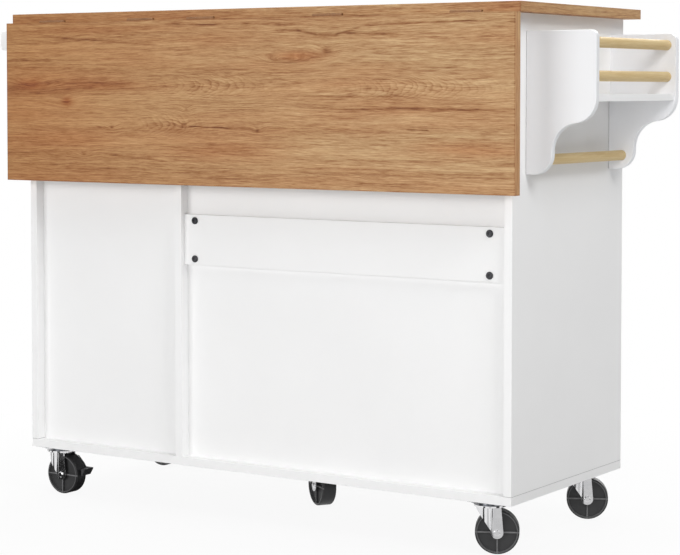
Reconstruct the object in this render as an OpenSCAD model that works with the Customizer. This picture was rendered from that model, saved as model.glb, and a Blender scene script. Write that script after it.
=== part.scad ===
/* [Cabinet] */
// Width over the two side panels
body_w = 1053; // [900:1:1300]
// Depth of the side panels, front edge to rear edge
body_d = 416; // [350:1:550]
// Underside of the bottom board to underside of the worktop
body_h = 817; // [700:1:900]
// Thickness of the cabinet boards
board = 15; // [12:0.5:19]
// Inside width of the narrow bay
narrow_w = 336; // [250:1:450]
// How far the back panels sit in from the rear edges
back_recess = 19; // [10:1:30]
// Thickness of the back panels
back_t = 5; // [3:0.5:9]
// Height of the drawer openings under the top stretchers
drawer_open_h = 155; // [120:1:220]
// Width of the flat stretchers under the worktop
stretcher_w = 60; // [40:1:100]
// Underside of the adjustable shelves above the bottom board
shelf_z = 300; // [200:1:420]
// How far the shelves stop behind the doors
shelf_setback = 25; // [10:1:60]

/* [Worktop and drop leaf] */
// Thickness of the worktop and of the drop leaf
top_t = 17; // [15:0.5:25]
// Overhang of the worktop at both ends
overhang = 25; // [15:1:40]
// Overhang of the worktop at the front
front_overhang = 20; // [10:1:40]
// Overhang of the worktop at the rear
rear_overhang = 20; // [10:1:40]
// Width of the hanging leaf, edge to edge
leaf_h = 299; // [200:1:400]
// Free gap between the worktop edge and the leaf when the leaf is up
leaf_gap = 3; // [2:0.5:6]

/* [Rear rail] */
// Height of the rail across the wide bay
rail_h = 92; // [60:1:120]
// Thickness of the rail
rail_t = 10; // [8:0.5:15]
// Vertical spacing of the rail bolts
rail_bolt_pitch = 70; // [40:1:90]
// Distance of the bolts from the divider end of the rail
rail_bolt_in_divider = 25; // [15:1:60]
// Distance of the bolts from the side panel end of the rail
rail_bolt_in_side = 32; // [15:1:60]

/* [Spice rack] */
// How far the rack stands out from the side panel
rack_out = 129; // [115:1:160]
// Length of the rack over its two end panels
rack_len = 325; // [250:1:400]
// Thickness of the rack boards
rack_t = 12; // [9:0.5:16]
// Top of the rack under the underside of the worktop
rack_drop = 29.5; // [10:0.5:120]
// Height of the rack end panels
rack_h = 238.5; // [200:0.5:300]
// Underside of the rack shelf above the lower ends of the end panels
shelf_up = 121.5; // [100:0.5:150]
// Middle of the upper wooden rail above the lower ends of the end panels
top_rail_up = 219; // [190:0.5:225]
// Middle of the lower wooden rail above the lower ends of the end panels
low_rail_up = 163.5; // [145:0.5:180]
// Middle of the towel bar above the lower ends of the end panels
towel_bar_up = 24.5; // [18:0.5:40]
// Diameter of the wooden rails
rail_d = 18; // [12:0.5:22]

/* [Towel holder] */
// How far the towel holder stands out from the other side panel
holder_out = 118; // [80:1:160]
// Height of the holder arms
holder_h = 38; // [25:1:60]
// Top of the holder arms under the underside of the worktop
holder_drop = 12; // [5:1:100]

/* [Casters] */
// Overall height of a caster
caster_h = 90; // [75:0.5:120]
// Wheel diameter
wheel_d = 75; // [50:1:100]
// Wheel width
wheel_w = 28; // [18:0.5:36]
// Distance of the axle behind the swivel axis
trail = 12; // [0:0.5:30]
// Distance of the corner swivels from the end with the rack
caster_in_rack = 59; // [40:1:120]
// Distance of the corner swivels from the end with the towel holder
caster_in_holder = 45; // [40:1:120]
// Distance of the front swivels from the front edge
caster_in_front = 43; // [35:1:120]
// Distance of the rear swivels from the rear edge
caster_in_rear = 35; // [35:1:120]

/* [Doors and drawers] */
// Gap round the inset doors and drawer fronts
front_gap = 2.5; // [1.5:0.5:4]
// Width of the frame round a door panel
door_frame = 52; // [35:1:80]
// Depth of the sunk door panel
door_sink = 4; // [2:0.5:8]
// Knob diameter
knob_d = 28; // [20:1:40]
// How far a knob stands out
knob_out = 24; // [15:1:35]
// Height of the drawer box sides
box_h = 105; // [70:1:130]
// Free space behind the drawer boxes
box_space = 37; // [10:1:90]
// Thickness of the drawer box boards
box_t = 12; // [9:0.5:16]
// Space for a runner at each side of a drawer box
runner_space = 12.7; // [12:0.1:14]

/* [Clearances] */
// Radial running clearance of pins in knuckles and of wheels on axles
run_fit = 0.05; // [0.02:0.01:0.1]
// Gap between faces that slide or turn past each other
pass_gap = 0.3; // [0.2:0.1:0.6]

/* [Hidden] */
$fn = 64;
eps = 0.01;

half_w = body_w / 2;
half_d = body_d / 2;
floor_z = caster_h;
under_z = floor_z + body_h;
inner_z = floor_z + board;
stretcher_z = under_z - board;
drawer_z = stretcher_z - drawer_open_h;
middle_z = drawer_z - board;
divider_x = half_w - board - narrow_w - board;
wide_x = -half_w + board;
wide_w = divider_x - wide_x;
narrow_x = divider_x + board;
back_y = half_d - back_recess - back_t;

// Worktop, leaf and hinge line
worktop_rear = half_d + rear_overhang;
hinge_y = worktop_rear + leaf_gap / 2;
hinge_drop = -1;
hinge_z = under_z - hinge_drop;
leaf_in_y = hinge_y + hinge_drop;
leaf_top_z = hinge_z - leaf_gap / 2;
leaf_w = body_w + 2 * overhang;
rear_reach = leaf_in_y + top_t;
front_reach = half_d + front_overhang;

// The origin is under the middle of the bounding box
x_shift = (rack_out - holder_out) / 2;
y_shift = (max(front_reach, half_d + knob_out) - rear_reach) / 2;

// Leaf hinges
knuckle_r = 3;
knuckle_pin_r = 1.5;
hinge_len = 60;
hinge_plate_t = 1.2;
hinge_plate_w = 32;
hinge_in = 69;

// Folding leaf supports
support_x = [-half_w + board / 2, divider_x + board / 2, half_w - board / 2];
leaf_hinge_x = [support_x[0] + hinge_in, (support_x[0] + support_x[1]) / 2,
                support_x[1] - hinge_in, support_x[1] + hinge_in, support_x[2] - hinge_in];
channel_w = 14;
channel_d = 9;
channel_t = 1.5;
channel_drop = 27;
channel_l = 265;
arm_len = 270;
arm_start = 14;
stay_pivot = 110;
stay_lift = 6;
stay_len = 170;
stay_w = 8;
stay_t = 6;
stay_end_r = 4.2;
stay_pin_r = 2;
stay_roller_r = 3.5;
stay_foot_y = half_d + channel_t + stay_roller_r + pass_gap;
stay_head_y = leaf_in_y - stay_lift;
stay_head_z = hinge_z - stay_pivot;
stay_tilt = asin((stay_head_y - stay_foot_y) / stay_len);

// Casters: x, y and turn of each one, and whether it has a brake
wheel_r = wheel_d / 2;
rack_cx = -half_w + caster_in_rack;
holder_cx = half_w - caster_in_holder;
rear_cy = half_d - caster_in_rear;
front_cy = -half_d + caster_in_front;
centre_cy = -8;
casters = [[rack_cx, rear_cy, 208, false], [holder_cx, rear_cy, 180, true],
           [rack_cx, front_cy, 207, false], [holder_cx, front_cy, 0, true],
           [0, centre_cy, 146, false]];
plate_t = 2.5;
plate_x = 60;
plate_y = 50;
plate_hole_x = 44;
plate_hole_y = 34;
screw_hole_r = 2.6;
screw_r = 2.5;
screw_head_r = 4.5;
screw_head_t = 2;
king_r = 5;
king_head_r = 8;
king_head_t = 3;
race_r = 19;
crown_r = 28;
crown_t = 3;
crown_z = 80.5;
fork_t = 2;
fork_in = wheel_w / 2 + 1.5;
fork_out = fork_in + fork_t;
nose_r = 20;
nose_x = -4;
leg_x = 2;
axle_r = 4;
axle_boss_r = 10.5;
brake_x = 24;
brake_z = 66;
brake_boss_r = 5.5;
brake_pin_r = 2;

// Doors
door_h = middle_z - inner_z - 2 * front_gap;
door_z = inner_z + front_gap;
wide_door_w = (wide_w - 3 * front_gap) / 2;
narrow_door_w = narrow_w - 2 * front_gap;
door_pin_r = 1.2;
door_knuckle_r = 3;
door_axis_y = -half_d - door_knuckle_r - pass_gap;
door_hinge_len = 50;
door_hinge_in = 85;
knob_in = 32;

// Drawers
front_h = drawer_open_h - 2 * front_gap;
front_z = drawer_z + front_gap;
box_up = 22;
box_z = drawer_z + box_up;
box_l = half_d + back_y - board - box_space;
runner_h = 35;
runner_sheet = 1.5;
runner_up = 20;
runner_z = box_z + runner_up;

module place() {
    translate([x_shift, y_shift, 0]) children();
}

module block(x, y, z, w, d, h) {
    translate([x, y, z]) cube([w, d, h]);
}

// A cylinder along X from x0, centred on y and z
module rod_x(x0, y, z, r, l) {
    translate([x0, y, z]) rotate([0, 90, 0]) cylinder(r = r, h = l);
}

// A cylinder along Y from y0, centred on x and z
module rod_y(x, y0, z, r, l) {
    translate([x, y0, z]) rotate([-90, 0, 0]) cylinder(r = r, h = l);
}

// Shelf pins stand in the panels on both sides of each bay
pin_r = 2.5;
pin_in = 9;
pin_out = 8;
pin_ys = [-half_d + board + shelf_setback + 30, back_y - 40];
pin_z = floor_z + shelf_z - pin_r;

module pin_holes(x) {
    for (y = pin_ys)
        rod_x(x - pin_in - pass_gap, y, pin_z, pin_r + run_fit, 2 * (pin_in + pass_gap));
}

module side_panel(x) {
    block(x, -half_d, inner_z, board, body_d, body_h - board);
}

module bottom_board() {
    color("white") place() block(-half_w, -half_d, floor_z, body_w, body_d, board);
}

// Towel rail and rack ends stand in shallow blind holes
peg = 8;
rail_in = 18;
towel_out = 25;
rack_y = -rack_len / 2;
rack_top_z = under_z - rack_drop;
rack_low_z = rack_top_z - rack_h;
rack_shelf_z = rack_low_z + shelf_up;
rack_rail_x = -half_w - rack_out + rail_in;
rack_rail_zs = [rack_low_z + top_rail_up, rack_low_z + low_rail_up];
towel_x = -half_w - towel_out;
towel_z = rack_low_z + towel_bar_up;

module left_side() {
    color("white") place() difference() {
        side_panel(-half_w);
        pin_holes(-half_w + board);
    }
}

module right_side() {
    color("white") place() difference() {
        side_panel(half_w - board);
        pin_holes(half_w - board);
    }
}

module divider() {
    color("white") place() difference() {
        side_panel(divider_x);
        pin_holes(divider_x);
        pin_holes(divider_x + board);
    }
}

rail_z = inner_z + (body_h - board - rail_h) / 2;
bolt_r = 3;
bolt_xs = [wide_x + rail_bolt_in_side, divider_x - rail_bolt_in_divider];
bolt_zs = [rail_z + (rail_h - rail_bolt_pitch) / 2, rail_z + (rail_h + rail_bolt_pitch) / 2];

module bolt_bores() {
    for (x = bolt_xs, z = bolt_zs)
        rod_y(x, back_y - 1, z, bolt_r + run_fit, back_t + rail_t + 2);
}

module back_panels() {
    color("white") place() {
        difference() {
            block(wide_x, back_y, inner_z, wide_w, back_t, body_h - board);
            bolt_bores();
        }
        block(narrow_x, back_y, inner_z, narrow_w, back_t, body_h - board);
    }
}

module rear_rail() {
    color("white") place() difference() {
        block(wide_x, back_y + back_t, rail_z, wide_w, rail_t, rail_h);
        bolt_bores();
    }
}

// Socket-head bolts with flanged nuts inside the cabinet
module rear_rail_bolts() {
    head_r = 6.5;
    head_t = 3;
    socket_r = 2.9;
    socket_d = 1.8;
    nut_r = 7;
    nut_t = 6;
    face_y = back_y + back_t + rail_t;
    color("black") place() for (x = bolt_xs, z = bolt_zs) {
        difference() {
            union() {
                rod_y(x, back_y - nut_t, z, bolt_r, nut_t + back_t + rail_t);
                rod_y(x, face_y, z, head_r, head_t - 1);
                translate([x, face_y + head_t - 1, z]) rotate([-90, 0, 0])
                    cylinder(r1 = head_r, r2 = head_r - 1, h = 1);
            }
            translate([x, face_y + head_t - socket_d, z]) rotate([-90, 0, 0])
                cylinder(r = socket_r, h = socket_d + 1, $fn = 6);
        }
        difference() {
            rod_y(x, back_y - nut_t, z, nut_r, nut_t);
            rod_y(x, back_y - nut_t - 1, z, bolt_r + run_fit, nut_t + 2);
        }
    }
}

module stretchers() {
    color("white") place() for (bay = [[wide_x, wide_w], [narrow_x, narrow_w]]) {
        block(bay[0], -half_d, stretcher_z, bay[1], stretcher_w, board);
        block(bay[0], back_y - stretcher_w, stretcher_z, bay[1], stretcher_w, board);
    }
}

module middle_boards() {
    color("white") place() for (bay = [[wide_x, wide_w], [narrow_x, narrow_w]])
        block(bay[0], -half_d, middle_z, bay[1], half_d + back_y, board);
}

shelf_side = 1;
module shelves() {
    front_y = -half_d + board + shelf_setback;
    color("white") place() for (bay = [[wide_x, wide_w], [narrow_x, narrow_w]])
        block(bay[0] + shelf_side, front_y, floor_z + shelf_z, bay[1] - 2 * shelf_side,
              back_y - 2 - front_y, board);
}

module shelf_pins() {
    color("silver") place() for (y = pin_ys) {
        for (x = [wide_x, narrow_x]) rod_x(x - pin_in, y, pin_z, pin_r, pin_in + pin_out);
        for (x = [divider_x, half_w - board])
            rod_x(x - pin_out, y, pin_z, pin_r, pin_in + pin_out);
    }
}

// Notches let the hinge knuckles into the corner of a board
module knuckle_notches() {
    for (x = leaf_hinge_x)
        rod_x(x - hinge_len / 2 - 1, hinge_y, hinge_z, knuckle_r + pass_gap, hinge_len + 2);
}

module worktop() {
    color("peru") place() difference() {
        block(-leaf_w / 2, -front_reach, under_z, leaf_w, front_reach + worktop_rear, top_t);
        knuckle_notches();
    }
}

// Points along an arc, in order from angle a0 to angle a1
function arc(cx, cy, r, a0, a1, steps) =
    [for (i = [0:steps]) let (a = a0 + (a1 - a0) * i / steps) [cx + r * cos(a), cy + r * sin(a)]];

// Ogee outline of the rack end panels, out from the side panel and up from the lower edge
module rack_panel_2d() {
    low_r = 34;
    low_w = 48.5;
    hollow_z = 38;
    hollow_r = 0.596 * (rack_out - low_w);
    big_r = 0.522 * (rack_out - low_w);
    // The two curves run into each other on a slant
    reach = hollow_r + big_r;
    lean = asin(1 - (rack_out - low_w) / reach);
    join = 5;
    top_r = 12;
    steps = 18;
    polygon(concat(
        [[0, 0]],
        arc(low_w - low_r, low_r, low_r, -90, 0, steps),
        arc(low_w + hollow_r, hollow_z, hollow_r, 180, 90 + lean, steps),
        arc(rack_out - big_r, hollow_z + reach * cos(lean), big_r, lean + join - 90, 0, steps),
        arc(rack_out - top_r, rack_h - top_r, top_r, 0, 90, steps / 2),
        [[0, rack_h]]));
}

module rack_dowel_holes(y0) {
    for (z = rack_rail_zs)
        rod_y(rack_rail_x, y0, z, rail_d / 2 + run_fit, rack_t);
    rod_y(towel_x, y0, towel_z, rail_d / 2 + run_fit, rack_t);
}

module rack_panel(y) {
    translate([-half_w, y, rack_low_z]) rotate([90, 0, 180])
        linear_extrude(rack_t) rack_panel_2d();
}

module rack_rear_panel() {
    color("white") place() difference() {
        rack_panel(-rack_y - rack_t);
        rack_dowel_holes(-rack_y - rack_t - (rack_t - peg));
    }
}

module rack_front_panel() {
    color("white") place() difference() {
        rack_panel(rack_y);
        rack_dowel_holes(rack_y + rack_t - peg);
    }
}

rack_back_t = 3;
rack_shelf_out = rack_out - 4;
module rack_shelf() {
    color("white") place()
        block(-half_w - rack_shelf_out, rack_y + rack_t, rack_shelf_z, rack_shelf_out,
              rack_len - 2 * rack_t, rack_t);
}

module rack_back() {
    z0 = rack_shelf_z + rack_t;
    color("white") place()
        block(-half_w - rack_back_t, rack_y + rack_t, z0, rack_back_t,
              rack_len - 2 * rack_t, rack_top_z - z0);
}

// Two rails and the towel bar are the same dowel
module rack_rails() {
    y0 = rack_y + rack_t - peg;
    l = rack_len - 2 * rack_t + 2 * peg;
    color("wheat") place() {
        for (z = rack_rail_zs) rod_y(rack_rail_x, y0, z, rail_d / 2, l);
        rod_y(towel_x, y0, towel_z, rail_d / 2, l);
    }
}

// Towel holder on the other side
holder_bar_in = 21;
holder_top_z = under_z - holder_drop;
holder_bar_x = half_w + holder_out - holder_bar_in;
holder_bar_z = holder_top_z - holder_h / 2;
module holder_arm(y) {
    corner = 10;
    difference() {
        union() {
            block(half_w, y, holder_top_z - holder_h, holder_out - corner, rack_t, holder_h);
            block(half_w, y, holder_top_z - holder_h + corner, holder_out, rack_t,
                  holder_h - 2 * corner);
            for (z = [corner, holder_h - corner])
                rod_y(half_w + holder_out - corner, y, holder_top_z - z, corner, rack_t);
        }
        rod_y(holder_bar_x, y + (y > 0 ? -peg - 1 : rack_t - peg), holder_bar_z,
              rail_d / 2 + run_fit, rack_t + (y > 0 ? 5 : 1));
    }
}

module holder_arms() {
    color("white") place() {
        holder_arm(rack_y);
        holder_arm(-rack_y - rack_t);
    }
}

module holder_bar() {
    color("wheat") place()
        rod_y(holder_bar_x, rack_y + rack_t - peg, holder_bar_z, rail_d / 2,
              rack_len - 2 * rack_t + 2 * peg);
}

// Half of a leaf hinge, about its pin: a screwed plate and every second knuckle
knuckle_n = 5;
knuckle_l = hinge_len / knuckle_n;
module hinge_half(first, bore) {
    web = 6;
    screw_r = 3.5;
    screw_t = 1.2;
    screw_x = 18;
    plate_z = hinge_drop - hinge_plate_t;
    difference() {
        union() {
            block(-hinge_len / 2, -web - hinge_plate_w, plate_z, hinge_len, hinge_plate_w,
                  hinge_plate_t);
            for (i = [first:2:knuckle_n - 1]) {
                x0 = i * knuckle_l - hinge_len / 2 + pass_gap / 2;
                block(x0, -web - eps, plate_z, knuckle_l - pass_gap, web, hinge_plate_t);
                rod_x(x0, 0, 0, knuckle_r, knuckle_l - pass_gap);
            }
        }
        rod_x(-hinge_len / 2 - 1, 0, 0, bore, hinge_len + 2);
    }
    for (x = [-screw_x, screw_x])
        translate([x, -web - hinge_plate_w / 2, plate_z - screw_t])
            cylinder(r = screw_r, h = screw_t);
}

module leaf_hinge_plates() {
    color("silver") place() for (x = leaf_hinge_x) translate([x, hinge_y, hinge_z]) {
        hinge_half(0, knuckle_pin_r);
        rod_x(-hinge_len / 2, 0, 0, knuckle_pin_r, hinge_len);
    }
}

module leaf_hinge_flaps() {
    color("silver") place() for (x = leaf_hinge_x) translate([x, hinge_y, hinge_z])
        rotate([-90, 0, 0]) mirror([0, 1, 0]) hinge_half(1, knuckle_pin_r + run_fit);
}

module drop_leaf() {
    color("peru") place() difference() {
        block(-leaf_w / 2, leaf_in_y, leaf_top_z - leaf_h, leaf_w, top_t, leaf_h);
        knuckle_notches();
    }
}

// Wall channels of the leaf supports, open towards the leaf
module support_channels() {
    inner = channel_w - 2 * channel_t;
    z0 = under_z - channel_drop - channel_l;
    color("white") place() for (x = support_x)
        difference() {
            block(x - channel_w / 2, half_d, z0, channel_w, channel_d, channel_l);
            block(x - inner / 2, half_d + channel_t, z0 - 1, inner, channel_d, channel_l + 2);
        }
}

// Channels under the leaf, with the rivets that the stays turn on
module leaf_arms() {
    inner = channel_w - 2 * channel_t;
    arm_z = hinge_z - arm_start - arm_len;
    color("white") place() for (x = support_x) {
        difference() {
            block(x - channel_w / 2, leaf_in_y - channel_d, arm_z, channel_w, channel_d, arm_len);
            block(x - inner / 2, leaf_in_y - channel_d - channel_t, arm_z - 1, inner, channel_d,
                  arm_len + 2);
            rod_x(x - channel_w, stay_head_y, stay_head_z, stay_pin_r, 2 * channel_w);
        }
        rod_x(x - channel_w / 2 - 1, stay_head_y, stay_head_z, stay_pin_r, channel_w + 2);
    }
}

// Stays that fold down from the leaf to the wall channels
module leaf_stays() {
    color("white") place() for (x = support_x)
        translate([x, stay_head_y, stay_head_z]) rotate([-stay_tilt, 0, 0]) difference() {
            union() {
                block(-stay_w / 2, -stay_t / 2, -stay_len, stay_w, stay_t, stay_len);
                rod_x(-stay_w / 2, 0, 0, stay_end_r, stay_w);
                rod_x(-channel_w / 2 + channel_t + pass_gap, 0, -stay_len, stay_roller_r,
                      channel_w - 2 * channel_t - 2 * pass_gap);
            }
            rod_x(-channel_w, 0, 0, stay_pin_r + run_fit, 2 * channel_w);
        }
}

// Casters
module caster_at(i) {
    place() translate([casters[i][0], casters[i][1], 0]) rotate([0, 0, casters[i][2]])
        children();
}

module caster_plates() {
    race_z = crown_z + crown_t + pass_gap;
    color("dimgray") place() for (c = casters) translate([c[0], c[1], 0]) {
        difference() {
            union() {
                block(-plate_x / 2, -plate_y / 2, caster_h - plate_t, plate_x, plate_y, plate_t);
                translate([0, 0, race_z]) cylinder(r = race_r, h = caster_h - plate_t - race_z);
            }
            for (x = [-1, 1], y = [-1, 1])
                translate([x * plate_hole_x / 2, y * plate_hole_y / 2, caster_h - plate_t - 1])
                    cylinder(r = screw_hole_r, h = plate_t + 2);
        }
        translate([0, 0, crown_z - 1]) cylinder(r = king_r, h = race_z - crown_z + 1 + eps);
        translate([0, 0, crown_z - pass_gap - king_head_t])
            cylinder(r = king_head_r, h = king_head_t);
    }
}

module caster_screws() {
    color("silver") place() for (c = casters, x = [-1, 1], y = [-1, 1])
        translate([c[0] + x * plate_hole_x / 2, c[1] + y * plate_hole_y / 2,
                   caster_h - plate_t]) {
            translate([0, 0, -screw_head_t]) cylinder(r = screw_head_r, h = screw_head_t);
            cylinder(r = screw_r, h = plate_t);
        }
}

// Plan of the bent fork sheet: a round nose that narrows to two straight legs
fork_plan_end = 40;
module fork_plan(inset) {
    translate([nose_x, 0]) circle(r = nose_r - inset);
    polygon([[nose_x, nose_r - inset], [leg_x, fork_out - inset],
             [fork_plan_end, fork_out - inset], [fork_plan_end, inset - fork_out],
             [leg_x, inset - fork_out], [nose_x, inset - nose_r]]);
}
// Side outline of the legs, slanting from the nose down to the axle
module fork_side() {
    leg_top = 6.8;
    polygon([[-crown_r + 1.9, crown_z + eps], [trail - 11.5, wheel_r + 5],
             [trail - 8, wheel_r], [trail + axle_boss_r, wheel_r],
             [trail + leg_top, crown_z + eps]]);
    translate([trail, wheel_r]) circle(r = axle_boss_r);
}

// Ear on one leg that carries the brake pedal
module brake_ear() {
    ear_x = trail + 3;
    translate([0, fork_out, 0]) rotate([90, 0, 0]) linear_extrude(fork_t) {
        polygon([[ear_x, brake_z - 10], [brake_x, brake_z - brake_boss_r],
                 [brake_x, brake_z + brake_boss_r], [ear_x, brake_z + 10]]);
        translate([brake_x, brake_z]) circle(r = brake_boss_r);
    }
}

module fork(i) {
    caster_at(i) {
        difference() {
            union() {
                intersection() {
                    linear_extrude(crown_z + eps) difference() {
                        fork_plan(0);
                        fork_plan(fork_t);
                        translate([fork_plan_end - 1, -fork_out]) square([2, 2 * fork_out]);
                    }
                    translate([0, nose_r + 5, 0]) rotate([90, 0, 0])
                        linear_extrude(2 * nose_r + 10) fork_side();
                }
                if (casters[i][3]) brake_ear();
                translate([0, 0, crown_z]) cylinder(r = crown_r, h = crown_t);
            }
            translate([0, 0, crown_z - 1]) cylinder(r = king_r + run_fit, h = crown_t + 2);
            rod_y(trail, -fork_out - 1, wheel_r, axle_r, 2 * fork_out + 2);
            if (casters[i][3])
                rod_y(brake_x, -fork_out - 1, brake_z, brake_pin_r + run_fit, 2 * fork_out + 2);
        }
        rod_y(trail, -fork_out, wheel_r, axle_r, 2 * fork_out);
        for (s = [-1, 1])
            translate([trail, s * fork_out, wheel_r]) rotate([-s * 90, 0, 0])
                cylinder(r1 = axle_r + 1.5, r2 = axle_r, h = 2.2);
    }
}

// Wheel with a sunk face, a rim, a hub and four spokes on each side
module wheel(i) {
    half = wheel_w / 2;
    rim_r = wheel_r - 4;
    hub_r = 9;
    sink = 4;
    edge = 2;
    caster_at(i) translate([trail, 0, wheel_r]) rotate([90, 0, 0]) difference() {
        union() {
            difference() {
                rotate_extrude() polygon([[0, -half], [wheel_r - edge, -half],
                                          [wheel_r, -half + edge], [wheel_r, half - edge],
                                          [wheel_r - edge, half], [0, half]]);
                for (s = [-1, 1])
                    translate([0, 0, s > 0 ? half - sink : -half - 1])
                        cylinder(r = rim_r, h = sink + 1);
            }
            translate([0, 0, -fork_in + pass_gap]) cylinder(r = hub_r, h = 2 * (fork_in - pass_gap));
            for (a = [0, 90])
                rotate([0, 0, a]) translate([-rim_r - 1, -1.5, -half + 1])
                    cube([2 * rim_r + 2, 3, wheel_w - 2]);
        }
        translate([0, 0, -fork_out]) cylinder(r = axle_r + run_fit, h = 2 * fork_out);
    }
}

// Brake pedal: a strap beside one leg and a foot tab close behind the wheel
module pedal(i) {
    strap_t = 2.2;
    tab_in = 53;
    tab_out = 61.5;
    tab_top = 51;
    tab_low = 37;
    tab_side = 6;
    pin_in = 0.2;
    pin_head = 1;
    strap_y = fork_out + pass_gap;
    color("black") caster_at(i) {
        difference() {
            union() {
                translate([0, strap_y + strap_t, 0]) rotate([90, 0, 0]) linear_extrude(strap_t) {
                    polygon([[brake_x - 4, brake_z - 3.5], [brake_x + 2.5, brake_z + 4.5],
                             [40, 57], [44, tab_top], [tab_out - 1, tab_top], [tab_in + 1, tab_low],
                             [46, tab_low + 2], [34, 48]]);
                    translate([brake_x, brake_z]) circle(r = brake_boss_r - 0.5);
                }
                translate([0, strap_y + strap_t, 0]) rotate([90, 0, 0])
                    linear_extrude(strap_y + strap_t + tab_side)
                        polygon([[tab_in, tab_low], [tab_in + 1.5, tab_low],
                                 [tab_out, tab_top - 2.5], [tab_out, tab_top],
                                 [tab_in, tab_top]]);
            }
            rod_y(brake_x, fork_in - 10, brake_z, brake_pin_r + run_fit, 30);
        }
        rod_y(brake_x, fork_in + pin_in, brake_z, brake_pin_r,
              fork_t + pass_gap + strap_t + pin_head - pin_in);
    }
}

module rear_left_fork() {
    color("silver") fork(0);
}

module rear_right_fork() {
    color("silver") fork(1);
}

module front_left_fork() {
    color("silver") fork(2);
}

module front_right_fork() {
    color("silver") fork(3);
}

module centre_fork() {
    color("silver") fork(4);
}

module rear_left_wheel() {
    color("dimgray") wheel(0);
}

module rear_right_wheel() {
    color("dimgray") wheel(1);
}

module front_left_wheel() {
    color("dimgray") wheel(2);
}

module front_right_wheel() {
    color("dimgray") wheel(3);
}

module centre_wheel() {
    color("dimgray") wheel(4);
}

module rear_right_pedal() {
    pedal(1);
}

module front_right_pedal() {
    pedal(3);
}

// Doors: x of the left edge, width, and the side that the hinges are on
left_door_x = wide_x + front_gap;
middle_door_x = left_door_x + wide_door_w + front_gap;
right_door_x = narrow_x + front_gap;
hinge_zs = [door_z + door_hinge_in, door_z + door_h - door_hinge_in];

module door(x, w) {
    color("white") place() difference() {
        block(x, -half_d, door_z, w, board, door_h);
        block(x + door_frame, -half_d - 1, door_z + door_frame, w - 2 * door_frame,
              door_sink + 1, door_h - 2 * door_frame);
    }
}

// One door hinge part: side is the way from the panel to the door
module door_hinge_part(x, z, side, moving) {
    plate = 1;
    reach = 14;
    axis_x = x + side * front_gap / 2;
    third = door_hinge_len / 3;
    px = moving ? (side > 0 ? x + front_gap - plate : x - front_gap)
                : (side > 0 ? x : x - plate);
    difference() {
        union() {
            block(px, -half_d, z - door_hinge_len / 2, plate, reach, door_hinge_len);
            for (k = moving ? [1] : [0, 2]) {
                z0 = z - door_hinge_len / 2 + k * third + pass_gap / 2;
                block(px, door_axis_y, z0, plate, -half_d - door_axis_y + eps,
                      third - pass_gap);
                translate([axis_x, door_axis_y, z0])
                    cylinder(r = door_knuckle_r, h = third - pass_gap);
            }
        }
        translate([axis_x, door_axis_y, z - door_hinge_len])
            cylinder(r = door_pin_r + (moving ? run_fit : 0), h = 2 * door_hinge_len);
    }
}

module door_hinge_plates() {
    color("silver") place() for (z = hinge_zs)
        for (h = [[wide_x, 1], [divider_x, -1], [half_w - board, -1]]) {
            door_hinge_part(h[0], z, h[1], false);
            translate([h[0] + h[1] * front_gap / 2, door_axis_y, z - door_hinge_len / 2])
                cylinder(r = door_pin_r, h = door_hinge_len);
        }
}

module door_hinges(x, side) {
    color("silver") place() for (z = hinge_zs) door_hinge_part(x, z, side, true);
}

module knob(x, z) {
    stem_r = 6;
    head_t = 9;
    color("silver") place() translate([x, -half_d, z]) rotate([90, 0, 0]) rotate_extrude()
        polygon([[0, 0], [stem_r + 3, 0], [stem_r + 3, 1.5], [stem_r, 4],
                 [stem_r, knob_out - head_t], [knob_d / 2 - 2, knob_out - head_t + 2],
                 [knob_d / 2, knob_out - head_t + 4.5], [knob_d / 2 - 1, knob_out - 1.5],
                 [knob_d / 2 - 4, knob_out], [0, knob_out]]);
}

module left_door() {
    door(left_door_x, wide_door_w);
}

module left_door_knob() {
    knob(left_door_x + wide_door_w - knob_in, door_z + door_h - 3 * knob_in);
}

module left_door_hinges() {
    door_hinges(wide_x, 1);
}

module middle_door() {
    door(middle_door_x, wide_door_w);
}

module middle_door_knob() {
    knob(middle_door_x + knob_in, door_z + door_h - 3 * knob_in);
}

module middle_door_hinges() {
    door_hinges(divider_x, -1);
}

module right_door() {
    door(right_door_x, narrow_door_w);
}

module right_door_knob() {
    knob(right_door_x + knob_in, door_z + door_h - 3 * knob_in);
}

module right_door_hinges() {
    door_hinges(half_w - board, -1);
}

// Drawers: x and width of the bay
module drawer_front(x, w) {
    color("white") place()
        block(x + front_gap, -half_d, front_z, w - 2 * front_gap, board, front_h);
}

module drawer_box(x, w) {
    bottom_t = 5;
    bottom_up = 8;
    x0 = x + runner_space;
    bw = w - 2 * runner_space;
    y0 = -half_d + board;
    color("beige") place() {
        difference() {
            union() {
                for (bx = [x0, x0 + bw - box_t]) block(bx, y0, box_z, box_t, box_l, box_h);
                for (by = [y0, y0 + box_l - box_t])
                    block(x0 + box_t - eps, by, box_z, bw - 2 * box_t + 2 * eps, box_t, box_h);
            }
            block(x0 + box_t / 2, y0 + box_t / 2, box_z + bottom_up, bw - box_t, box_l - box_t,
                  bottom_t);
        }
        block(x0 + box_t / 2, y0 + box_t / 2, box_z + bottom_up, bw - box_t, box_l - box_t,
              bottom_t);
    }
}

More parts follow.
